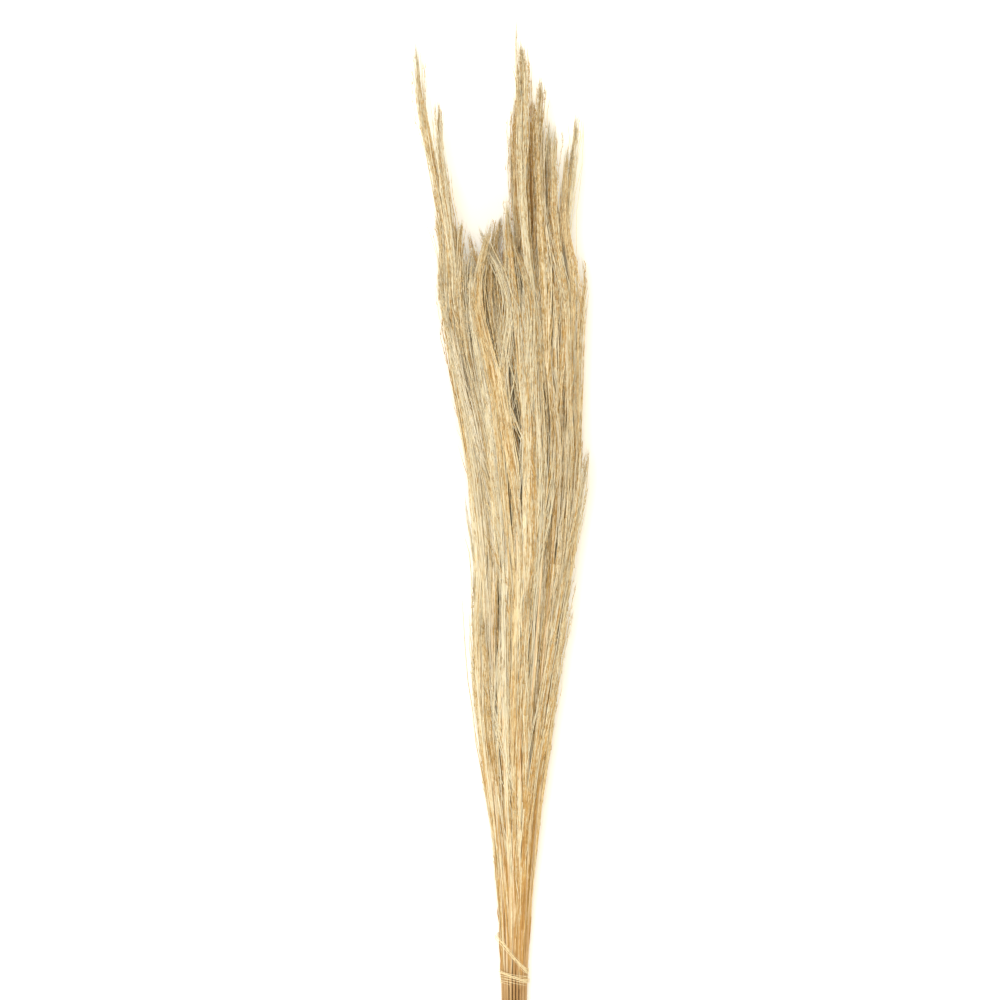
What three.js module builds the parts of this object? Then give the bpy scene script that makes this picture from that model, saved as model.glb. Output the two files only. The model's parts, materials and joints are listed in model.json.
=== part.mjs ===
// A tied bunch of dried broom grass lying on its side.
// Millimetres. Cut stem ends toward -Y, plume tips toward +Y, +X to the right, +Z up, floor at z = 0.
import * as THREE from "three";

// Driving dimensions
const LENGTH = 1000;
const GAP = 0.36;
const RING_COUNTS = [1, 6, 12, 17, 22];
const RING_OFFSET = 0.31;
const ANGLE_PLAY = 0.1;
const RADIUS_PLAY = 0.012;
const WANDER = 0.018;
const TWIST = 0.2;
const TWIST_END = 800;
const SIDES = 6;
const TIP_TAPER = 190;
const TAPER_POWER = 0.7;
const SHORTEST_TIP = 12;
const BEND_LENGTH = 150;
const CUT_STAGGER = 5;
const REACH_PLAY = 22;
const HIDDEN_PLAY = 120;
const HIDDEN_FROM = -0.35;
const HIDDEN_TO = 0.45;
const ROUGHNESS = 0.75;

// The floor squares off the underside between these distances from the cut ends.
const SETTLE_FROM = 120;
const SETTLE_TO = 460;
const SETTLE_RIM = 0.889;
const SETTLE_WIDTH = 0.58;

// The grass blade round the stems
const STRAND_RADIUS = 0.7;
const STRAND_SLACK = 0.5;
const STRAND_STEPS = 96;
const STRAND_ARCS = 6;
const WINDING_TURNS = 2.6;
const WINDING_START = 80;
const WINDING_STEPS = [36, 7, 4];
const WINDING_SINK = 1;
const WINDING_ANGLE = 1.08;

// Every use of chance() has a seed of its own.
const SEED = { radius: 90, reach: 300, hidden: 400, cut: 500, spin: 700 };

// Outline of the whole bunch at distances from the cut ends: side edges, underside and top.
const OUTLINE = [
  { at: 0, left: 2, right: 27, under: 2.4, over: 27 },
  { at: 45, left: 1, right: 28, under: 2.4, over: 28 },
  { at: 110, left: -1, right: 32, under: 4, over: 34 },
  { at: 190, left: -9, right: 39, under: 5, over: 45 },
  { at: 280, left: -21, right: 51, under: 4, over: 58 },
  { at: 370, left: -27, right: 62, under: 2, over: 67 },
  { at: 460, left: -26, right: 75, under: -0.5, over: 75 },
  { at: 550, left: -33, right: 80, under: -0.6, over: 80 },
  { at: 640, left: -48, right: 76, under: -0.8, over: 82 },
  { at: 710, left: -59, right: 76, under: -1, over: 81 },
  { at: 770, left: -59, right: 72, under: 2, over: 76 },
  { at: 830, left: -70, right: 72, under: 5, over: 69 },
  { at: 890, left: -80, right: 76, under: 9, over: 57 },
  { at: 1000, left: -87, right: 77, under: 16, over: 40 },
];

// Height the plumes reach across the width, from the left edge (-1) to the right edge (1).
const CROWN = [
  { across: -1, reach: 850 },
  { across: -0.74, reach: 830 },
  { across: -0.62, reach: 775 },
  { across: -0.3, reach: 780 },
  { across: -0.05, reach: 800 },
  { across: 0.1, reach: 815 },
  { across: 0.17, reach: 835 },
  { across: 0.24, reach: 985 },
  { across: 0.35, reach: 960 },
  { across: 0.5, reach: 930 },
  { across: 0.65, reach: 900 },
  { across: 0.8, reach: 875 },
  { across: 1, reach: 880 },
];

// The stalks that stand out above their neighbours, and the side their tips bend to.
const SPIKES = [
  { across: -0.93, depth: 0.1, reach: 960, bend: -9 },
  { across: -0.78, depth: 0.4, reach: 905, bend: 2 },
  { across: 0.24, depth: 0.3, reach: LENGTH, bend: -3 },
  { across: 0.92, depth: 0.1, reach: 892, bend: 7 },
];

const PALE = 0xdcc491;
const GOLDEN = 0xcfaa6b;
const GREYED = 0xbfae7e;
const TONES = [PALE, GOLDEN, PALE, GREYED, PALE];
const STRAND = 0xd9be8a;

function chance(seed) {
  const value = Math.sin(seed * 12.9898 + 4.1414) * 43758.5453;
  return value - Math.floor(value);
}

function along(rows, key, place, name) {
  let above = 1;
  while (above < rows.length - 1 && rows[above][key] < place) {
    above += 1;
  }
  const low = rows[above - 1];
  const high = rows[above];
  const share = (place - low[key]) / (high[key] - low[key]);
  return THREE.MathUtils.lerp(low[name], high[name], THREE.MathUtils.clamp(share, 0, 1));
}

// Middle and half sizes of the bunch at a distance from the cut ends.
function section(at) {
  const left = along(OUTLINE, "at", at, "left");
  const right = along(OUTLINE, "at", at, "right");
  const under = along(OUTLINE, "at", at, "under");
  const over = along(OUTLINE, "at", at, "over");
  return {
    x: (left + right) / 2,
    z: (under + over) / 2,
    halfWidth: (right - left) / 2,
    halfThick: (over - under) / 2,
  };
}

// Stalks stand in rings round a middle one; places are shares of the half width and half thickness.
function ringPlaces() {
  const places = [];
  const step = 1 / (RING_COUNTS.length - 0.5);
  RING_COUNTS.forEach((count, ring) => {
    for (let i = 0; i < count; i += 1) {
      const seed = places.length + 1;
      const angle = ((i + RING_OFFSET * ring + ANGLE_PLAY * chance(seed)) / count) * 2 * Math.PI;
      const radius = ring * step + RADIUS_PLAY * (chance(seed + SEED.radius) - 0.5);
      places.push(new THREE.Vector2(radius * Math.cos(angle), radius * Math.sin(angle)));
    }
  });
  return places;
}

// The head lies flat on the floor, so the lower half is squared off toward its edges.
function settle(place, at) {
  if (place.y >= 0) {
    return place;
  }
  const off = Math.min(Math.abs(place.x), SETTLE_WIDTH);
  const squared = SETTLE_RIM / Math.sqrt(SETTLE_RIM ** 2 - off ** 2);
  const share = THREE.MathUtils.smoothstep(at, SETTLE_FROM, SETTLE_TO);
  return new THREE.Vector2(place.x, place.y * THREE.MathUtils.lerp(1, squared, share));
}

const places = ringPlaces();

// Stalks under the others are shorter.
const reaches = places.map((place, i) => {
  const crown = along(CROWN, "across", place.x, "reach");
  const hidden = THREE.MathUtils.smoothstep(-place.y, HIDDEN_FROM, HIDDEN_TO);
  return crown - REACH_PLAY * chance(i + SEED.reach) - HIDDEN_PLAY * hidden * chance(i + SEED.hidden);
});
const bends = places.map(() => 0);

SPIKES.forEach((spike) => {
  const wanted = new THREE.Vector2(spike.across, spike.depth);
  const distances = places.map((place) => place.distanceTo(wanted));
  const nearest = distances.indexOf(Math.min(...distances));
  reaches[nearest] = spike.reach;
  bends[nearest] = spike.bend;
});

// Where every stalk stands at one of the outline's stations.
function placesAt(at, station) {
  const turn = -TWIST * (1 - Math.min(at, TWIST_END) / TWIST_END);
  return places.map((place, i) => {
    const moved = place.clone().rotateAround(new THREE.Vector2(), turn);
    moved.x += WANDER * (chance(i * 31 + station * 7) - 0.5);
    moved.y += WANDER * (chance(i * 17 + station * 11) - 0.5);
    return settle(moved, at);
  });
}

const stations = OUTLINE.map((row, k) => {
  const here = placesAt(row.at, k);
  const clearance = GAP / 2 / section(row.at).halfThick;
  const radii = here.map((place, i) => {
    const others = here.filter((_, j) => j !== i);
    const nearest = Math.min(...others.map((other) => other.distanceTo(place)));
    return Math.min(nearest / 2, 1 - place.length()) - clearance;
  });
  return { at: row.at, here, radii };
});

function between(at, pick) {
  let above = 1;
  while (above < stations.length - 1 && stations[above].at < at) {
    above += 1;
  }
  const low = stations[above - 1];
  const high = stations[above];
  const share = THREE.MathUtils.clamp((at - low.at) / (high.at - low.at), 0, 1);
  return pick(low, high, share);
}

function stalk(i) {
  const start = i === 0 ? 0 : CUT_STAGGER * chance(i + SEED.cut);
  const reach = reaches[i];
  const heights = stations
    .map((station) => station.at)
    .filter((at) => at > 0 && at < reach - SHORTEST_TIP);
  const profile = [new THREE.Vector2(0, start)];
  [start, ...heights].forEach((at) => {
    const radius = between(at, (low, high, share) =>
      THREE.MathUtils.lerp(low.radii[i], high.radii[i], share));
    const taper = Math.min(1, ((reach - at) / TIP_TAPER) ** TAPER_POWER);
    profile.push(new THREE.Vector2(radius * taper, at));
  });
  profile.push(new THREE.Vector2(0, reach));

  const geometry = new THREE.LatheGeometry(profile, SIDES, chance(i + SEED.spin));
  const points = geometry.attributes.position;
  for (let p = 0; p < points.count; p += 1) {
    const at = points.getY(p);
    const size = section(at);
    const centre = between(at, (low, high, share) =>
      low.here[i].clone().lerp(high.here[i], share));
    const bend = bends[i] * THREE.MathUtils.smoothstep(at, reach - BEND_LENGTH, reach);
    const x = size.x + size.halfWidth * (centre.x + points.getX(p)) + bend;
    const z = size.z + size.halfThick * (centre.y + points.getZ(p));
    points.setXYZ(p, x, at, z);
  }
  geometry.computeVertexNormals();
  return geometry;
}

// One long grass blade: three passes over the top, the first one steep, joined by level ones beneath.
class Winding extends THREE.Curve {
  getPoint(t, target = new THREE.Vector3()) {
    const turns = WINDING_TURNS * t;
    const passes = WINDING_STEPS.map((step, pass) =>
      step * THREE.MathUtils.smoothstep(turns, pass, pass + 0.5));
    const sunk = WINDING_SINK * Math.max(turns - 0.5, 0);
    const at = WINDING_START - passes.reduce((sum, step) => sum + step, 0) - sunk;
    const angle = Math.PI * (WINDING_ANGLE - 2 * turns);
    const size = section(at);
    const off = GAP + STRAND_RADIUS + STRAND_SLACK;
    return target.set(
      size.x + (size.halfWidth + off) * Math.cos(angle),
      at,
      size.z + (size.halfThick + off) * Math.sin(angle),
    );
  }
}

function strand() {
  const outline = new THREE.Shape();
  outline.absarc(0, 0, STRAND_RADIUS, 0, 2 * Math.PI, false);
  return new THREE.ExtrudeGeometry(outline, {
    steps: STRAND_STEPS,
    curveSegments: STRAND_ARCS,
    bevelEnabled: false,
    extrudePath: new Winding(),
  });
}

function finish(color) {
  return new THREE.MeshStandardMaterial({ color, roughness: ROUGHNESS, metalness: 0 });
}

const bunch = new THREE.Group();
bunch.name = "broom_grass_bunch";

places.forEach((_, i) => {
  const mesh = new THREE.Mesh(stalk(i), finish(TONES[i % TONES.length]));
  mesh.name = `stalk_${String(i + 1).padStart(2, "0")}`;
  bunch.add(mesh);
});

const binding = new THREE.Mesh(strand(), finish(STRAND));
binding.name = "binding_blade";
bunch.add(binding);

// The origin is the middle of the bunch's bounding box, on the floor.
const box = new THREE.Box3().setFromObject(bunch);
const middle = box.getCenter(new THREE.Vector3());
bunch.children.forEach((mesh) => {
  mesh.geometry.translate(-middle.x, -middle.y, -box.min.z);
});

export default bunch;
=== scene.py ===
import json

import bmesh
import bpy
import numpy as np
from mathutils import Matrix, Vector


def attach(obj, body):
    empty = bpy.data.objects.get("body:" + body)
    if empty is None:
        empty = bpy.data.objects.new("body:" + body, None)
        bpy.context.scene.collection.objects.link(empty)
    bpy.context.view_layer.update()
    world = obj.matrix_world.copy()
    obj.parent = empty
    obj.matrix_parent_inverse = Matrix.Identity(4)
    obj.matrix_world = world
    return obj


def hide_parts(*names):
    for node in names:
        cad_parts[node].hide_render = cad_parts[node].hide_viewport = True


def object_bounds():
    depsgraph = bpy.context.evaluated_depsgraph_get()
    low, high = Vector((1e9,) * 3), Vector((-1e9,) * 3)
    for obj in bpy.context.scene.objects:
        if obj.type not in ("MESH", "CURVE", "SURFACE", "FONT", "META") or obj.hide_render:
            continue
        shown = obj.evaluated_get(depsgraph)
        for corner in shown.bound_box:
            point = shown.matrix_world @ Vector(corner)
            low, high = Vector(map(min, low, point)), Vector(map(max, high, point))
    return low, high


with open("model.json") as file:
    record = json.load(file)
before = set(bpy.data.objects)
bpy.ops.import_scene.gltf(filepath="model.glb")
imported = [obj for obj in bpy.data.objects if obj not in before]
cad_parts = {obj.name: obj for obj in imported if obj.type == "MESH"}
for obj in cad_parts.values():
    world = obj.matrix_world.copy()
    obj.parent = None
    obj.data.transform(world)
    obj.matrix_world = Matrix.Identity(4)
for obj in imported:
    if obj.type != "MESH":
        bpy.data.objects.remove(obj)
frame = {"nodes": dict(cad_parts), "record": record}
cad_low, cad_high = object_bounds()
MM = 0.001


# ---- Camera -------------------------------------------------------------------------------------
# A long lens high above the bench, square to it, so that the bunch runs up the frame.
# The cut ends lie just outside the lower edge of the view.
CAMERA_HEIGHT = 6.0
FIELD = 1.0
SENSOR = 36.0
HEADROOM = 18 * MM
ASIDE = 2 * MM
VIEW_DEPTH = 40

camera = bpy.data.objects.new("camera", bpy.data.cameras.new("camera"))
bpy.context.scene.collection.objects.link(camera)
bunch_middle = (cad_low + cad_high) / 2
camera.location = (bunch_middle.x + ASIDE, bunch_middle.y + HEADROOM, CAMERA_HEIGHT)
camera.data.sensor_width = SENSOR
camera.data.lens = SENSOR * (CAMERA_HEIGHT - bunch_middle.z) / FIELD
camera.data.clip_end = VIEW_DEPTH
bpy.context.scene.camera = camera


# ---- Bench and light ----------------------------------------------------------------------------
# White paper under one soft lamp, nearly overhead and a little to the upper left, in an even
# surround of warm light. The surround looks white from the camera, like the paper.
class Wire:
    """A socket in a material's tree. Sums and products with wires or numbers add Math nodes."""

    def __init__(self, tree, socket=None):
        self.tree = tree
        self.socket = socket

    def node(self, kind, settings=None, inputs=None, output=0):
        made = self.tree.nodes.new(kind)
        for name, value in (settings or {}).items():
            if name == "stops":
                ramp = made.color_ramp
                while len(ramp.elements) < len(value):
                    ramp.elements.new(0.5)
                for element, (place, colour) in zip(ramp.elements, value):
                    element.position = place
                    element.color = colour
            else:
                setattr(made, name, value)
        for name, value in (inputs or {}).items():
            if isinstance(value, Wire):
                self.tree.links.new(value.socket, made.inputs[name])
            else:
                made.inputs[name].default_value = value
        return Wire(self.tree, made.outputs[output] if made.outputs else None)

    def math(self, operation, first, second):
        return self.node("ShaderNodeMath", {"operation": operation}, {0: first, 1: second})

    def __add__(self, other):
        return self.math("ADD", self, other)

    def __radd__(self, other):
        return self.math("ADD", other, self)

    def __sub__(self, other):
        return self.math("SUBTRACT", self, other)

    def __rsub__(self, other):
        return self.math("SUBTRACT", other, self)

    def __mul__(self, other):
        return self.math("MULTIPLY", self, other)

    def __rmul__(self, other):
        return self.math("MULTIPLY", other, self)


def new_material(name):
    material = bpy.data.materials.new(name)
    material.use_nodes = True
    material.node_tree.nodes.clear()
    return material, Wire(material.node_tree)


def linear(red, green, blue):
    """A colour given as it looks on screen, 0 to 255, as an amount of light."""
    shares = [value / 255 for value in (red, green, blue)]
    return (*(s / 12.92 if s <= 0.04045 else ((s + 0.055) / 1.055) ** 2.4 for s in shares), 1.0)


# The paper glows faintly of itself, though it is no lamp: a painted glow that lightens the shade on
# the paper near the bunch and lights the bunch a little from below.
PAPER_GLOW = 0.12


def bench_paper():
    material, wire = new_material("bench_paper")
    place = wire.node("ShaderNodeTexCoord", output=3)
    grain = wire.node("ShaderNodeTexNoise", inputs={"Vector": place, "Scale": 900.0})
    shader = wire.node(
        "ShaderNodeBsdfPrincipled",
        inputs={
            "Base Color": linear(252, 252, 252),
            "Roughness": grain * 0.1 + 0.75,
            "Emission Color": (1.0, 1.0, 1.0, 1.0),
            "Emission Strength": PAPER_GLOW,
        },
    )
    wire.node("ShaderNodeOutputMaterial", inputs={"Surface": shader})
    return material


BENCH_REACH = 30.0
LAMP_ENERGY = 1.6
LAMP_ANGLE = 0.5
LAMP_SIDE = (-0.12, 0.1, 1.0)
LAMP_COLOUR = (1.0, 0.99, 0.97)
SURROUND_COLOUR = (1.0, 0.925, 0.71, 1.0)
SURROUND_STRENGTH = 1.02

bench_shape = bmesh.new()
bmesh.ops.create_grid(bench_shape, x_segments=1, y_segments=1, size=BENCH_REACH)
bench = bpy.data.objects.new("bench", bpy.data.meshes.new("bench"))
bench_shape.to_mesh(bench.data)
bench_shape.free()
bench.data.materials.append(bench_paper())
bpy.context.scene.collection.objects.link(bench)

lamp = bpy.data.objects.new("lamp", bpy.data.lights.new("lamp", "SUN"))
lamp.data.energy = LAMP_ENERGY
lamp.data.angle = LAMP_ANGLE
lamp.data.color = LAMP_COLOUR
lamp.rotation_euler = Vector(LAMP_SIDE).to_track_quat("Z", "Y").to_euler()
bpy.context.scene.collection.objects.link(lamp)

world = bpy.data.worlds.new("surround")
world.use_nodes = True
world.node_tree.nodes.clear()
sky = Wire(world.node_tree)
bounced = sky.node(
    "ShaderNodeBackground", inputs={"Color": SURROUND_COLOUR, "Strength": SURROUND_STRENGTH}
)
backdrop = sky.node("ShaderNodeBackground", inputs={"Color": (1.0, 1.0, 1.0, 1.0)})
seen = sky.node("ShaderNodeLightPath")
chosen = sky.node("ShaderNodeMixShader", inputs={0: seen, 1: bounced, 2: backdrop})
sky.node("ShaderNodeOutputWorld", inputs={"Surface": chosen})
bpy.context.scene.world = world
bpy.context.scene.view_settings.view_transform = "Standard"


# ---- Stalks -------------------------------------------------------------------------------------
# Each stalk is one grass stem, cut low down: a hard golden culm with a papery sheath, which breaks
# up into many hair-fine branchlets, most of them hung with tiny chaffy spikelets.
CULM_RADIUS = 1.3 * MM
CULM_SIDES = 7
CULM_CUTS = 15
CULM_TAPER = 0.72
CULM_JOINTS = (0.2, 0.4, 0.6)
JOINT_LENGTH = 0.012
JOINT_SWELL = 0.16
SHEATH_SIDES = 6
SHEATH_CUTS = 4
SHEATH_TAPER = 0.25
SHEATH_FIT = 1.2

# Outer stalks, which show, have the most branchlets.
BRANCHLETS = (40, 110, 206)
OUTWARD = (0.45, 0.65, 0.85)
BRANCHLET_CUTS = 12
BRANCHLET_TAPER = 0.45
BRANCHLET_RADII = (0.36 * MM, 0.72 * MM)

# Spikelets are shares of the branchlet that carries them along its length, and of its radius across.
SPIKELET_ZONE = (0.34, 0.985)
SPIKELET_SIZES = (0.75, 1.25)
SPIKELET_LENGTH = 0.012
SPIKELET_WIDTH = 0.5
SPIKELET_STANDOFF = 0.75
SPIKELET_SPREAD = 0.55
SPIKELET_RADIUS = 0.9 * MM


def tube(sides, cuts, pointed):
    """A tube of radius 1 along y from 0 to 1, cut across so that it can bend."""
    shape = bmesh.new()
    place = Matrix.Rotation(-np.pi / 2, 4, "X") @ Matrix.Translation((0, 0, 0.5))
    tip = 0 if pointed else 1
    bmesh.ops.create_cone(
        shape, cap_ends=True, segments=sides, radius1=1, radius2=tip, depth=1, matrix=place
    )
    for level in np.linspace(0, 1, cuts + 2)[1:-1]:
        everything = shape.verts[:] + shape.edges[:] + shape.faces[:]
        bmesh.ops.bisect_plane(shape, geom=everything, plane_co=(0, level, 0), plane_no=(0, 1, 0))
    return shape


STRIP_MARGIN = 0.05
STRIP_ENDS = 0.01
BRANCHLET_STRIP = 0.68
SPIKELET_STRIPS = (0.74, 0.86)
SPIKELET_MAP_STEP = 0.004


def wrap(shape, left, right):
    """Lays the map of a tube out as a strip, with the length up the strip and the sides across it."""
    layer = shape.loops.layers.uv.new("OFBake")
    for face in shape.faces:
        middle = face.calc_center_median()
        turn = np.arctan2(middle.z, middle.x)
        for loop in face.loops:
            point = loop.vert.co
            away = np.arctan2(point.z, point.x) - turn if abs(point.x) + abs(point.z) > 1e-6 else 0
            away = (away + np.pi) % (2 * np.pi) - np.pi
            share = (turn + away) / (2 * np.pi) + 0.5
            share = share * (1 - 2 * STRIP_MARGIN) + STRIP_MARGIN
            up = STRIP_ENDS + (1 - 2 * STRIP_ENDS) * point.y
            loop[layer].uv = (left + (right - left) * share, up)


def add_spikelets(shape, count, seed):
    """Small pointed grains held close along the outer part of a branchlet, on all its sides."""
    layer = shape.loops.layers.uv["OFBake"]
    grain_layer = shape.verts.layers.float["grain"]
    rng = np.random.default_rng(seed)
    for level in np.sort(rng.uniform(*SPIKELET_ZONE, count)):
        turn = rng.uniform(0, 2 * np.pi)
        size = rng.uniform(*SPIKELET_SIZES)
        out = Vector((np.cos(turn), 0, np.sin(turn)))
        lie = Matrix.Rotation(-np.pi / 2, 4, "X")
        place = Matrix.Translation(out * SPIKELET_STANDOFF + Vector((0, level, 0))) @ lie
        width = SPIKELET_WIDTH * size
        scale = Matrix.Diagonal((width, width, SPIKELET_LENGTH * size, 1))
        made = bmesh.ops.create_cone(
            shape, cap_ends=True, segments=3, radius1=1, radius2=0, depth=1, matrix=place @ scale
        )
        for vertex in made["verts"]:
            vertex[grain_layer] = 1.0
            if vertex.co.y > level:
                vertex.co += out * SPIKELET_SPREAD
        for face in {f for v in made["verts"] for f in v.link_faces}:
            for k, loop in enumerate(face.loops):
                up = min(1 - STRIP_ENDS, level + SPIKELET_MAP_STEP * k)
                loop[layer].uv = (SPIKELET_STRIPS[k % 2], up)


def template(name, shape):
    """Keeps a finished shape as a mesh, with its points, map and grain as arrays."""
    for face in shape.faces:
        face.smooth = True
    mesh = bpy.data.meshes.new(name)
    shape.to_mesh(mesh)
    shape.free()
    points = np.empty(len(mesh.vertices) * 3)
    mesh.vertices.foreach_get("co", points)
    grain = np.zeros(len(mesh.vertices))
    if "grain" in mesh.attributes:
        mesh.attributes["grain"].data.foreach_get("value", grain)
    spread = np.empty(len(mesh.loops) * 2)
    mesh.uv_layers["OFBake"].uv.foreach_get("vector", spread)
    return {
        "mesh": mesh,
        "points": points.reshape(-1, 3),
        "grain": grain,
        "map": spread.reshape(-1, 2),
    }


def branchlet(name, spikelets, seed):
    """One three-sided hair, slimmer toward its point, with spikelets on it."""
    shape = tube(3, BRANCHLET_CUTS, True)
    for vertex in shape.verts:
        if 0 < vertex.co.y < 1:
            slim = (1 - BRANCHLET_TAPER * vertex.co.y) / (1 - vertex.co.y)
            vertex.co = (vertex.co.x * slim, vertex.co.y, vertex.co.z * slim)
    shape.verts.layers.float.new("grain")
    wrap(shape, 0.0, BRANCHLET_STRIP)
    add_spikelets(shape, spikelets, seed)
    return template(name, shape)


def culm():
    """A stem cut square at both ends."""
    shape = tube(CULM_SIDES, CULM_CUTS, False)
    shape.verts.layers.float.new("grain")
    wrap(shape, 0.0, 1.0)
    for face in shape.faces:
        face.material_index = 1
    return template("culm", shape)


def sheath():
    """A leaf base wrapped round a culm, ending in a point."""
    shape = tube(SHEATH_SIDES, SHEATH_CUTS, True)
    shape.verts.layers.float.new("grain")
    wrap(shape, 0.0, 1.0)
    for vertex in shape.verts:
        if 0 < vertex.co.y < 1:
            full = 1 / (1 - vertex.co.y)
            vertex.co = (vertex.co.x * full, vertex.co.y, vertex.co.z * full)
    for face in shape.faces:
        face.material_index = 1
    return template("sheath", shape)


BARE = branchlet("bare_branchlet", 0, 1)
SPARSE = branchlet("sparse_branchlet", 8, 2)
GRAINY = branchlet("grainy_branchlet", 18, 3)
CHAFFY = branchlet("chaffy_branchlet", 30, 4)
CULM = culm()
SHEATH = sheath()


PATCH_SIZES = (60.0, 9.0, 60.0)
SPECK_SIZES = (600.0, 230.0, 600.0)
PATCHINESS = 0.6
SPECKLING = 0.35
CHAFF_SHARE = 0.6
PALE_FROM = 0.35
PALING = 1.5
PALING_START = 0.56


def branchlet_straw(name, deep, shadow, middle, light):
    """Matte straw that pales toward the tips, mottled along its length, with duller spikelets."""
    material, wire = new_material(name)
    tone = wire.node("ShaderNodeAttribute", {"attribute_name": "tone"}, output=2)
    grain = wire.node("ShaderNodeAttribute", {"attribute_name": "grain"}, output=2)
    rise = wire.node("ShaderNodeAttribute", {"attribute_name": "rise"}, output=2)
    place = wire.node("ShaderNodeTexCoord", output=3)
    stretched = wire.node("ShaderNodeMapping", inputs={"Vector": place, "Scale": PATCH_SIZES})
    patch = wire.node("ShaderNodeTexNoise", inputs={"Vector": stretched, "Detail": 2.0})
    streaked = wire.node("ShaderNodeMapping", inputs={"Vector": place, "Scale": SPECK_SIZES})
    speck = wire.node("ShaderNodeTexNoise", inputs={"Vector": streaked, "Scale": 1.0})
    paling = wire.math("MINIMUM", rise, PALE_FROM) * PALING - PALING_START
    mottle = (patch - 0.5) * PATCHINESS + (speck - 0.5) * (rise + SPECKLING)
    straw = wire.node(
        "ShaderNodeValToRGB",
        {"stops": [(0.0, deep), (0.2, shadow), (0.5, middle), (0.9, light)]},
        {"Fac": tone + mottle + paling},
    )
    chaff = wire.node(
        "ShaderNodeMix", {"data_type": "RGBA"}, {0: grain * CHAFF_SHARE, 6: straw, 7: shadow}, output=2
    )
    shader = wire.node(
        "ShaderNodeBsdfPrincipled",
        inputs={"Base Color": chaff, "Roughness": speck * 0.25 + 0.6, "Specular IOR Level": 0.08},
    )
    wire.node("ShaderNodeOutputMaterial", inputs={"Surface": shader})
    return material


RIB_SIZES = (1400.0, 12.0, 1400.0)
RIBBING = 0.6
BLOTCH_SCALE = 45.0
BLOTCHING = 0.5
CULM_PALING = 1.2
CULM_PALING_START = 0.18
RIB_HEIGHT = 0.2 * MM


def culm_straw():
    """Hard glossy straw in golden tan, ribbed along its length."""
    material, wire = new_material("culm_straw")
    tone = wire.node("ShaderNodeAttribute", {"attribute_name": "tone"}, output=2)
    rise = wire.node("ShaderNodeAttribute", {"attribute_name": "rise"}, output=2)
    place = wire.node("ShaderNodeTexCoord", output=3)
    stretched = wire.node("ShaderNodeMapping", inputs={"Vector": place, "Scale": RIB_SIZES})
    ribs = wire.node("ShaderNodeTexNoise", inputs={"Vector": stretched, "Detail": 3.0})
    blotch = wire.node("ShaderNodeTexNoise", inputs={"Vector": place, "Scale": BLOTCH_SCALE})
    mottle = (ribs - 0.5) * RIBBING + (blotch - 0.5) * BLOTCHING
    straw = wire.node(
        "ShaderNodeValToRGB",
        {
            "stops": [
                (0.0, linear(152, 112, 68)),
                (0.35, linear(189, 154, 110)),
                (0.65, linear(212, 184, 145)),
                (1.0, linear(234, 214, 182)),
            ]
        },
        {"Fac": tone + mottle + rise * CULM_PALING - CULM_PALING_START},
    )
    bump = wire.node(
        "ShaderNodeBump", inputs={"Strength": 0.35, "Distance": RIB_HEIGHT, "Height": ribs}
    )
    shader = wire.node(
        "ShaderNodeBsdfPrincipled",
        inputs={
            "Base Color": straw,
            "Roughness": ribs * 0.2 + 0.4,
            "Specular IOR Level": 0.25,
            "Normal": bump,
        },
    )
    wire.node("ShaderNodeOutputMaterial", inputs={"Surface": shader})
    return material


# Deep, shadow, middle and light straw of each kind. The darker stops colour the lower ends and the
# spikelets, and also the painted shade of the inner stalks.
STRAW_COLOURS = {
    "pale": ((196, 152, 94), (212, 178, 119), (240, 230, 202), (237, 230, 213)),
    "golden": ((192, 148, 88), (211, 176, 118), (240, 223, 185), (239, 228, 203)),
    "greyed": ((180, 140, 84), (201, 169, 112), (236, 222, 191), (237, 229, 212)),
}
BRANCHLET_STRAWS = {
    f"straw_{kind}": branchlet_straw(f"{kind}_straw", *(linear(*colour) for colour in colours))
    for kind, colours in STRAW_COLOURS.items()
}
CULM_STRAW = culm_straw()


READING_STEP = 4 * MM
LEVEL_MATCH = 0.2 * MM
MIDDLE_SMOOTHING = 21
SIZE_SMOOTHING = 11


def smoothed(values, width):
    """A moving mean that keeps both ends."""
    window = np.hanning(width + 2)[1:-1]
    padded = np.pad(values, width // 2, mode="reflect", reflect_type="odd")
    return np.convolve(padded, window / window.sum(), mode="valid")[: len(values)]


def course_of(node):
    """The middle line and half sizes of a CAD stalk, read at close steps along y."""
    mesh = frame["nodes"][node].data
    points = np.empty(len(mesh.vertices) * 3)
    mesh.vertices.foreach_get("co", points)
    points = points.reshape(-1, 3)
    levels = np.unique(np.round(points[:, 1], 4))
    rings = [points[abs(points[:, 1] - level) < LEVEL_MATCH] for level in levels]
    low = np.array([ring.min(0) for ring in rings])
    high = np.array([ring.max(0) for ring in rings])
    y = np.arange(levels[0], levels[-1] + READING_STEP / 2, READING_STEP)
    middle = (low + high) / 2
    half = (high - low) / 2
    return {
        "y": y,
        "x": smoothed(np.interp(y, levels, middle[:, 0]), MIDDLE_SMOOTHING),
        "z": smoothed(np.interp(y, levels, middle[:, 2]), MIDDLE_SMOOTHING),
        "wide": smoothed(np.interp(y, levels, half[:, 0]), SIZE_SMOOTHING),
        "thick": smoothed(np.interp(y, levels, half[:, 2]), SIZE_SMOOTHING),
        "cut": levels[0],
        "tip": levels[-1],
    }


def smoothstep(values):
    clipped = np.clip(values, 0, 1)
    return clipped * clipped * (3 - 2 * clipped)


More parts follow.
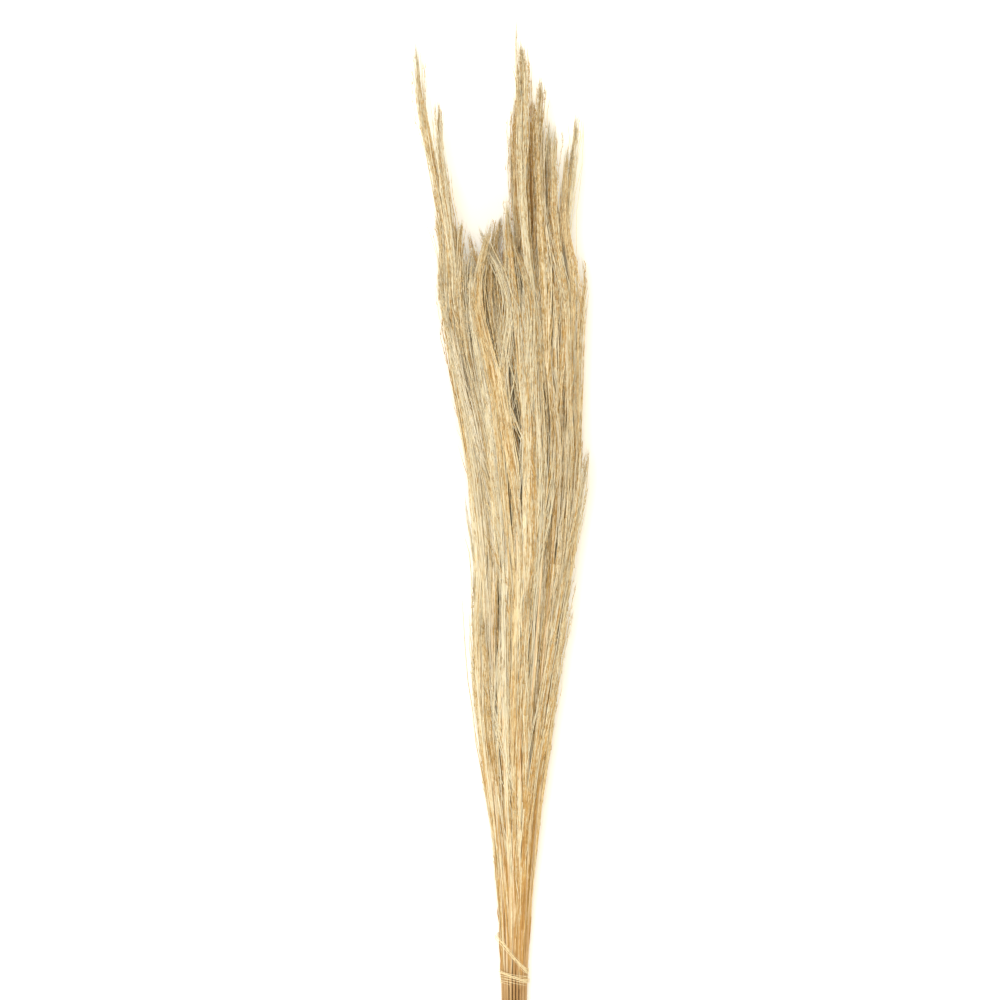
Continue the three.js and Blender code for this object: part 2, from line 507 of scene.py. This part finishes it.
class StalkParts:
    """Gathers bent copies of the templates into one mesh, each with its own strip of the map."""

    def __init__(self):
        self.shape = bmesh.new()
        self.points, self.tone, self.grain, self.rise, self.map = [], [], [], [], []

    def add(self, kind, points, tone, rise, strip):
        copies = points.shape[0]
        for _ in range(copies):
            self.shape.from_mesh(kind["mesh"])
        self.points.append(points.reshape(-1, 3))
        self.tone.append(np.repeat(tone, len(kind["points"])))
        self.rise.append(rise.reshape(-1))
        self.grain.append(np.tile(kind["grain"], copies))
        left, width = strip
        lefts = left + width * np.arange(copies)[:, None]
        across = lefts + width * kind["map"][None, :, 0]
        up = np.broadcast_to(kind["map"][None, :, 1], across.shape)
        self.map.append(np.stack([across, up], -1).reshape(-1, 2))

    def piece(self, name, materials):
        mesh = bpy.data.meshes.new(name)
        self.shape.to_mesh(mesh)
        self.shape.free()
        mesh.vertices.foreach_set("co", np.concatenate(self.points).ravel())
        for key, values in (("tone", self.tone), ("grain", self.grain), ("rise", self.rise)):
            layer = mesh.attributes.get(key) or mesh.attributes.new(key, "FLOAT", "POINT")
            layer.data.foreach_set("value", np.concatenate(values).astype(np.float32))
        mesh.uv_layers["OFBake"].uv.foreach_set("vector", np.concatenate(self.map).ravel())
        for material in materials:
            mesh.materials.append(material)
        mesh.update()
        piece = bpy.data.objects.new(name, mesh)
        bpy.context.scene.collection.objects.link(piece)
        return piece


stalk_nodes = sorted(name for name in frame["nodes"] if name.startswith("stalk_"))
courses = {node: course_of(node) for node in stalk_nodes}
slots = {row["node"]: row["material_slot"] for row in frame["record"]["subparts"]}
bunch_y = np.linspace(cad_low.y, cad_high.y, 251)


def edge_of(side, key, size):
    """One edge of the whole bunch at each level of bunch_y."""
    edges = []
    for course in courses.values():
        place = np.interp(bunch_y, course["y"], course[key] + side * course[size])
        inside = (bunch_y >= course["cut"]) & (bunch_y <= course["tip"])
        edges.append(np.where(inside, place, -side))
    return np.max(edges, 0) if side > 0 else np.min(edges, 0)


bunch_left, bunch_right = edge_of(-1, "x", "wide"), edge_of(1, "x", "wide")
bunch_under, bunch_over = edge_of(-1, "z", "thick"), edge_of(1, "z", "thick")


def bend_culm(course, kind, start, end, radius):
    """A culm or sheath bent along the middle of its stalk."""
    y = start + (end - start) * kind["points"][:, 1]
    taper = radius(kind["points"][:, 1])
    x = np.interp(y, course["y"], course["x"]) + taper * kind["points"][:, 0]
    z = np.interp(y, course["y"], course["z"]) + taper * kind["points"][:, 2]
    return np.stack([x, y, z], -1)[None]


def culm_radius(level):
    level = np.clip(level, 0, 1)
    joints = sum(np.exp(-(((level - place) / JOINT_LENGTH) ** 2)) for place in CULM_JOINTS)
    return CULM_RADIUS * (1 - CULM_TAPER * level**1.3) * (1 + JOINT_SWELL * joints)


def sheath_radius(level):
    return CULM_RADIUS * SHEATH_FIT * (1 - SHEATH_TAPER * level)


ROUNDNESS = 2.6
DRAWN_FROM = 0.88
SMALLEST_HALF = 3 * MM


def soft_limit(x, y, z):
    """Draws points near the outside of the whole bunch in, so that they stay inside its outline."""
    left, right = np.interp(y, bunch_y, bunch_left), np.interp(y, bunch_y, bunch_right)
    under, over = np.interp(y, bunch_y, bunch_under), np.interp(y, bunch_y, bunch_over)
    half_x = np.maximum((right - left) / 2, SMALLEST_HALF)
    half_z = np.maximum((over - under) / 2, SMALLEST_HALF)
    u = (x - (left + right) / 2) / half_x
    v = (z - (under + over) / 2) / half_z
    out = (abs(u) ** ROUNDNESS + abs(v) ** ROUNDNESS + 1e-9) ** (1 / ROUNDNESS)
    rim = 1 - DRAWN_FROM
    drawn = np.where(out < DRAWN_FROM, out, DRAWN_FROM + rim * np.tanh((out - DRAWN_FROM) / rim))
    x = (left + right) / 2 + half_x * u * drawn / out
    z = (under + over) / 2 + half_z * v * drawn / out
    return x, z, u * drawn / out, half_x, half_z


# The first lock of a stalk makes its tip, the second stands just below it, the others anywhere above
# the middle. Lengths are shares of the stalk's own length, places are shares of its half sizes.
LOCKS = 6
LOCK_PLACES = (0.05, 1.3)
TIP_PLACES = (0.1, 0.5)
TIP_ENDS = (20 * MM, -12 * MM)
TIP_RAGGED = 18 * MM
LOCK_RAGGED = 30 * MM
LOCK_DROP = 0.6
LOCK_LENGTHS = (0.26, 0.52)
LEAN_X = 0.62
LEAN_Z = 0.14
SWAYS = (0.02, 0.07)
WAVES = (14, 34)
FLARE = 4 * MM
LOCK_TONE = 0.14


def plan_locks(course, rng):
    """Where the locks of one stalk start and end, where they stand in it and how they lean."""
    length = course["tip"] - course["cut"]
    angle = rng.uniform(0, 2 * np.pi, LOCKS)
    reach = np.sqrt(rng.uniform(*LOCK_PLACES, LOCKS))
    reach[:2] = TIP_PLACES
    ragged = np.full(LOCKS, LOCK_RAGGED)
    ragged[:2] = TIP_RAGGED
    end = course["tip"] - LOCK_DROP * length * rng.uniform(0, 1, LOCKS) ** 1.3
    end[:2] = course["tip"] + np.array(TIP_ENDS)
    return {
        "p": reach * np.cos(angle),
        "q": reach * np.sin(angle),
        "lean_x": rng.normal(0, LEAN_X, LOCKS),
        "lean_z": rng.normal(0, LEAN_Z, LOCKS),
        "ragged": ragged,
        "start": end - rng.uniform(*LOCK_LENGTHS, LOCKS) * length,
        "end": end,
        "sway": rng.uniform(*SWAYS, LOCKS),
        "wave": rng.uniform(*WAVES, LOCKS),
        "phase": rng.uniform(0, 2 * np.pi, LOCKS),
        "flare": abs(rng.normal(0, FLARE, LOCKS)),
        "tone": rng.normal(0, LOCK_TONE, LOCKS),
    }


def kinked(level, count, size, rng):
    """Small sideways kinks from joint to joint of each branchlet."""
    kinks = rng.normal(0, size, (count, BRANCHLET_CUTS + 2))
    kinks[:, 0] = 0
    joint = np.clip(level[0] * (BRANCHLET_CUTS + 1), 0, BRANCHLET_CUTS + 0.999)
    below = joint.astype(int)
    share = joint - below
    return kinks[:, below] * (1 - share) + kinks[:, below + 1] * share


LOCK_SHARING = 1.35
LOW_SHARE = 0.2
LOW_STARTS = (25, 170)
START_PLAY = 30 * MM
LEAST_LENGTH = 120 * MM
SPREAD_LENGTH = 110 * MM
SCATTER = 0.16
FAN = (0.8, 1.0)
TIP_FINENESS = 0.45
TIP_LENGTH = 70 * MM
LEAST_HALF = 2.4 * MM
CROWN_EXTRA = 1.8 * MM
CROWN_EXTRA_FROM = 0.24
CROWN_EXTRA_OVER = 0.1
CROWN_FROM = 0.19
CROWN_OVER = 0.11
LEAN_PIVOT = 0.4
CROWN_ROOM = (26 * MM, 18 * MM)
ASTRAY_SHARE = 0.25
ASTRAY_IN_CROWN = 0.45
ASTRAY = 7 * MM
ASTRAY_PIVOT = 0.3
KINK = 0.6 * MM
STRAY_SHARE = 0.2
STRAY = 3.6 * MM
STRAY_WAVE = 1.5 * MM
STRAY_WAVES = (75, 68)
FLARE_GAIN = 1.4
FLARE_FROM = -0.08
FLARE_OVER = 0.1
FLOOR_CLEARANCE = 1.3 * MM
SIDE_ROOM = 11 * MM


def bend_branchlets(course, kind, count, locks, rng):
    """Branchlets that leave the culm, gather in locks and part a little toward the lock's tip."""
    lock = (LOCKS * rng.uniform(0, 1, count) ** LOCK_SHARING).astype(int)
    own = {key: values[lock][:, None] for key, values in locks.items()}
    level = kind["points"][None, :, 1]
    end = own["end"] - own["ragged"] * np.minimum(rng.exponential(1, count), 5)[:, None]
    start = own["start"] + rng.normal(0, START_PLAY, count)[:, None]
    low = course["cut"] + rng.uniform(*LOW_STARTS, count)[:, None] * MM
    start = np.where(rng.uniform(0, 1, count)[:, None] < LOW_SHARE, low, start)
    start = np.clip(start, course["cut"] + LOW_STARTS[0] * MM, end - LEAST_LENGTH)
    y = start + (end - start) * level
    spread = smoothstep((y - start) / SPREAD_LENGTH) * 0.9 + 0.1

    offset = rng.normal(0, SCATTER, (2, count))
    fan = FAN[0] + FAN[1] * level**2
    fine = 1 - TIP_FINENESS * smoothstep((y - course["tip"]) / TIP_LENGTH + 1)
    crown = smoothstep((y - CROWN_EXTRA_FROM) / CROWN_EXTRA_OVER)
    least = (LEAST_HALF + CROWN_EXTRA * crown) * fine
    wide = np.maximum(np.interp(y, course["y"], course["wide"]), least)
    thick = np.maximum(np.interp(y, course["y"], course["thick"]), least)
    p = own["p"] + offset[0][:, None] * fan
    q = own["q"] + offset[1][:, None] * fan
    x = np.interp(y, course["y"], course["x"]) + wide * p * spread
    z = np.interp(y, course["y"], course["z"]) + thick * q * spread

    _, _, _, half_x, half_z = soft_limit(x, y, z)
    free = 1 - smoothstep((y - CROWN_FROM) / CROWN_OVER)
    lean = (level - LEAN_PIVOT) * spread * free
    x += half_x * own["lean_x"] * lean
    z += half_z * own["lean_z"] * lean
    sway = own["sway"] * (0.3 + 0.7 * level)
    room_x = half_x * free + CROWN_ROOM[0] * (1 - free)
    room_z = half_z * free + CROWN_ROOM[1] * (1 - free)
    x += room_x * sway * np.sin(y * own["wave"] + own["phase"])
    z += room_z * sway * np.sin(y * own["wave"] * 0.8 + own["phase"] + 1)
    astray = (rng.uniform(0, 1, count) < ASTRAY_SHARE)[:, None]
    astray = astray * (ASTRAY_IN_CROWN + (1 - ASTRAY_IN_CROWN) * free)
    aside = rng.normal(0, ASTRAY, (2, count))[:, :, None] * astray
    x += aside[0] * (level - ASTRAY_PIVOT) * spread
    z += aside[1] * (level - ASTRAY_PIVOT) * spread
    limited_x, limited_z, side, _, _ = soft_limit(x, y, z)
    x += (limited_x - x) * free
    z += (limited_z - z) * free
    x += kinked(level, count, KINK, rng)
    z += kinked(level, count, KINK, rng)
    stray = (rng.uniform(0, 1, count) < STRAY_SHARE)[:, None]
    drift = rng.normal(0, STRAY, (2, count))[:, :, None]
    phase = rng.uniform(0, 2 * np.pi, (2, count))[:, :, None]
    ripple = [np.sin(y * wave + begin) for wave, begin in zip(STRAY_WAVES, phase)]
    x += stray * (drift[0] * level**2 + STRAY_WAVE * level * ripple[0])
    z += stray * (drift[1] * level**2 + STRAY_WAVE * level * ripple[1])
    flared = FLARE_GAIN * smoothstep((y - FLARE_FROM) / FLARE_OVER)
    x += own["flare"] * side**3 * level**4 * flared
    x = np.clip(x, cad_low.x - SIDE_ROOM, cad_high.x + SIDE_ROOM)
    z = np.maximum(z, FLOOR_CLEARANCE)

    turn = rng.uniform(0, 2 * np.pi, count)[:, None]
    grains = kind["grain"][None, :]
    body = rng.uniform(*BRANCHLET_RADII, count)[:, None] * (1 - grains) + SPIKELET_RADIUS * grains
    across = kind["points"][None, :, 0] * np.cos(turn) - kind["points"][None, :, 2] * np.sin(turn)
    upward = kind["points"][None, :, 0] * np.sin(turn) + kind["points"][None, :, 2] * np.cos(turn)
    points = np.stack([x + body * across, y, z + body * upward], -1)
    rise = (y - cad_low.y) / (cad_high.y - cad_low.y)
    return points, own["tone"][:, 0], rise


MIX = ((BARE, 0.27), (SPARSE, 0.3), (GRAINY, 0.28), (CHAFFY, 0.15))
STALK_TONE = (0.56, 0.06)
CULM_TONE = (0.45, 0.08)
SHEATH_TONES = (0.7, 0.9)
BRANCHLET_TONE = 0.15
CULM_SHARE = 0.86
SHEATH_STARTS = (15, 190)
SHEATH_LENGTHS = (110, 190)
CULM_STRIP = (0, 0.08)
SHEATH_STRIP = (0.08, 0.04)
BRANCHLETS_FROM = 0.12
BRANCHLETS_WIDTH = 0.87

# How far out a stalk stands is read at this height of the head. Inner stalks get painted shade: their
# tone is made darker and browner, for the shade in the hollows between stalks.
HEAD_LEVEL = 0.1
PAINTED_SHADE_WITHIN = 0.87
PAINTED_SHADE = 0.35
FIRST_SEED = 700

for number, node in enumerate(stalk_nodes):
    rng = np.random.default_rng(FIRST_SEED + number)
    course = courses[node]
    length = course["tip"] - course["cut"]
    tone = rng.normal(*STALK_TONE)
    parts = StalkParts()

    culm_top = course["cut"] + CULM_SHARE * length
    stem = bend_culm(course, CULM, course["cut"], culm_top, culm_radius)
    culm_tone = np.array([rng.normal(*CULM_TONE)])
    parts.add(CULM, stem, culm_tone, CULM["points"][None, :, 1], CULM_STRIP)
    low_end = course["cut"] + rng.uniform(*SHEATH_STARTS) * MM
    high_end = low_end + rng.uniform(*SHEATH_LENGTHS) * MM
    wrapped = bend_culm(course, SHEATH, low_end, high_end, sheath_radius)
    sheath_tone = np.array([rng.uniform(*SHEATH_TONES)])
    parts.add(SHEATH, wrapped, sheath_tone, SHEATH["points"][None, :, 1], SHEATH_STRIP)

    head = np.array([HEAD_LEVEL])
    middle = [np.interp(head, course["y"], course[key]) for key in ("x", "z")]
    _, _, _, half_x, half_z = soft_limit(middle[0], head, middle[1])
    off_x = (middle[0] - np.interp(head, bunch_y, (bunch_left + bunch_right) / 2)) / half_x
    off_z = (middle[1] - np.interp(head, bunch_y, (bunch_under + bunch_over) / 2)) / half_z
    outward = np.hypot(off_x, off_z)[0]
    branchlets = round(np.interp(outward, OUTWARD, BRANCHLETS))
    # Painted shade: a stalk deep in the bunch is given a darker, browner tone.
    tone -= PAINTED_SHADE * np.clip(PAINTED_SHADE_WITHIN - outward, 0, 1)
    locks = plan_locks(course, rng)
    strip_left = BRANCHLETS_FROM
    for kind, share in MIX:
        count = round(branchlets * share)
        points, lock_tone, rise = bend_branchlets(course, kind, count, locks, rng)
        tones = tone + lock_tone + rng.normal(0, BRANCHLET_TONE, count)
        width = BRANCHLETS_WIDTH * count / branchlets
        parts.add(kind, points, tones, rise, (strip_left, width / count))
        strip_left += width

    grass = parts.piece(node + "_grass", (BRANCHLET_STRAWS[slots[node]], CULM_STRAW))
    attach(grass, "root")
    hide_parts(node)


# ---- Binding blade ------------------------------------------------------------------------------
# One long dry leaf blade wound round the stems near the cut ends. It has frayed into fibres that run
# side by side: they cross the top steeply, make close turns below that, and end loose.
FIBRES = 12
FIBRE_SIDES = 4
FIBRE_CUTS = 100
FIBRE_RADIUS = 0.3 * MM
FIBRE_SIZES = (0.6, 1.3)
FIBRE_SLIMMING = 8
FIBRE_TIP = 0.3
FIBRE_STRIP = 0.9
FIBRE_TONE = (0.6, 0.15)
FIBRE_SEED = 91
BLADE_TURNS = 2.6
BLADE_ANGLE = 1.08
BLADE_START = 80 * MM
BLADE_STEPS = (36 * MM, 7 * MM, 4 * MM)
BLADE_SINK = 1 * MM
BLADE_GAP = 0.9 * MM
BLADE_CLEARANCE = 0.2 * MM

# Fibres begin and end at turns of their own, wander sideways and stand off loosely at their ends.
FIRST_TURNS = (-0.1, 0.04)
LAST_TURNS = (-1.9, 0.06)
WANDER = 2.4 * MM
RIPPLE = 0.7 * MM
RIPPLE_WAVES = (15, 40)
RIPPLE_STARTS = (0, 6)
FIBRE_LIFT = 0.35 * MM
END_LIFTS = (0, 4)
END_SHARE = 14

fibre_shape = tube(FIBRE_SIDES, FIBRE_CUTS, True)
fibre_shape.verts.layers.float.new("grain")
for vertex in fibre_shape.verts:
    if 0 < vertex.co.y < 1:
        slim = min(1, (1 - vertex.co.y) * FIBRE_SLIMMING + FIBRE_TIP) / (1 - vertex.co.y)
        vertex.co = (vertex.co.x * slim, vertex.co.y, vertex.co.z * slim)
wrap(fibre_shape, 0.0, FIBRE_STRIP)
FIBRE = template("fibre", fibre_shape)


VEIN_SCALE = 350.0
VEINING = 0.9
VEIN_HEIGHT = 0.2 * MM


def blade_straw():
    """Papery cream fibres, mottled along their length."""
    material, wire = new_material("blade_straw")
    tone = wire.node("ShaderNodeAttribute", {"attribute_name": "tone"}, output=2)
    place = wire.node("ShaderNodeTexCoord", output=3)
    veins = wire.node(
        "ShaderNodeTexNoise", inputs={"Vector": place, "Scale": VEIN_SCALE, "Detail": 2.0}
    )
    leaf = wire.node(
        "ShaderNodeValToRGB",
        {"stops": [(0.2, linear(206, 168, 108)), (0.75, linear(248, 234, 198))]},
        {"Fac": tone + (veins - 0.5) * VEINING},
    )
    bump = wire.node(
        "ShaderNodeBump", inputs={"Strength": 0.4, "Distance": VEIN_HEIGHT, "Height": veins}
    )
    shader = wire.node(
        "ShaderNodeBsdfPrincipled",
        inputs={"Base Color": leaf, "Roughness": veins * 0.2 + 0.6, "Normal": bump},
    )
    wire.node("ShaderNodeOutputMaterial", inputs={"Surface": shader})
    return material


def facing(turns):
    """The direction from the middle of the bunch to a fibre, after so many turns."""
    return np.pi * (BLADE_ANGLE - 2 * turns)


def bind(turns, beside, lift):
    """Middles of the wound fibres, at the turns they have made."""
    passes = sum(step * smoothstep(2 * (turns - k)) for k, step in enumerate(BLADE_STEPS))
    along = BLADE_START - passes - BLADE_SINK * np.maximum(turns - 0.5, 0)
    y = cad_low.y + along + beside
    angle = facing(turns)
    left, right = np.interp(y, bunch_y, bunch_left), np.interp(y, bunch_y, bunch_right)
    under, over = np.interp(y, bunch_y, bunch_under), np.interp(y, bunch_y, bunch_over)
    out = np.stack([np.cos(angle), np.zeros_like(angle), np.sin(angle)], -1)
    half_x = (right - left) / 2 + BLADE_GAP + lift
    half_z = (over - under) / 2 + BLADE_GAP + lift
    middle = np.stack([(left + right) / 2, y, (under + over) / 2], -1)
    return middle + out * np.stack([half_x, 0 * half_x, half_z], -1)


rng = np.random.default_rng(FIBRE_SEED)
level = FIBRE["points"][None, :, 1]
first = rng.uniform(*FIRST_TURNS, FIBRES)[:, None]
last = BLADE_TURNS + rng.uniform(*LAST_TURNS, FIBRES)[:, None]
turns = first + (last - first) * level
beside = rng.normal(0, WANDER, FIBRES)[:, None]
waves = rng.uniform(*RIPPLE_WAVES, FIBRES)[:, None]
beside = beside + RIPPLE * np.sin(level * waves + rng.uniform(*RIPPLE_STARTS, FIBRES)[:, None])
loose = smoothstep(1 - level * END_SHARE) + smoothstep(1 - (1 - level) * END_SHARE)
lift = abs(rng.normal(0, FIBRE_LIFT, FIBRES))[:, None]
lift = lift + loose * rng.uniform(*END_LIFTS, FIBRES)[:, None] * MM
middle = bind(turns, beside, lift)
size = rng.uniform(*FIBRE_SIZES, FIBRES)[:, None] * FIBRE_RADIUS
across = size * FIBRE["points"][None, :, 0]
along = size * FIBRE["points"][None, :, 2]
outward = facing(turns)
wound = middle + np.stack([across * np.cos(outward), along, across * np.sin(outward)], -1)
wound[:, :, 2] = np.maximum(wound[:, :, 2], BLADE_CLEARANCE)
blade_parts = StalkParts()
fibre_tones = rng.normal(*FIBRE_TONE, FIBRES)
blade_parts.add(FIBRE, wound, fibre_tones, level.repeat(FIBRES, 0), (0, 1 / FIBRES))
blade = blade_parts.piece("binding_blade_fibres", (blade_straw(),))
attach(blade, "root")
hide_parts("binding_blade")
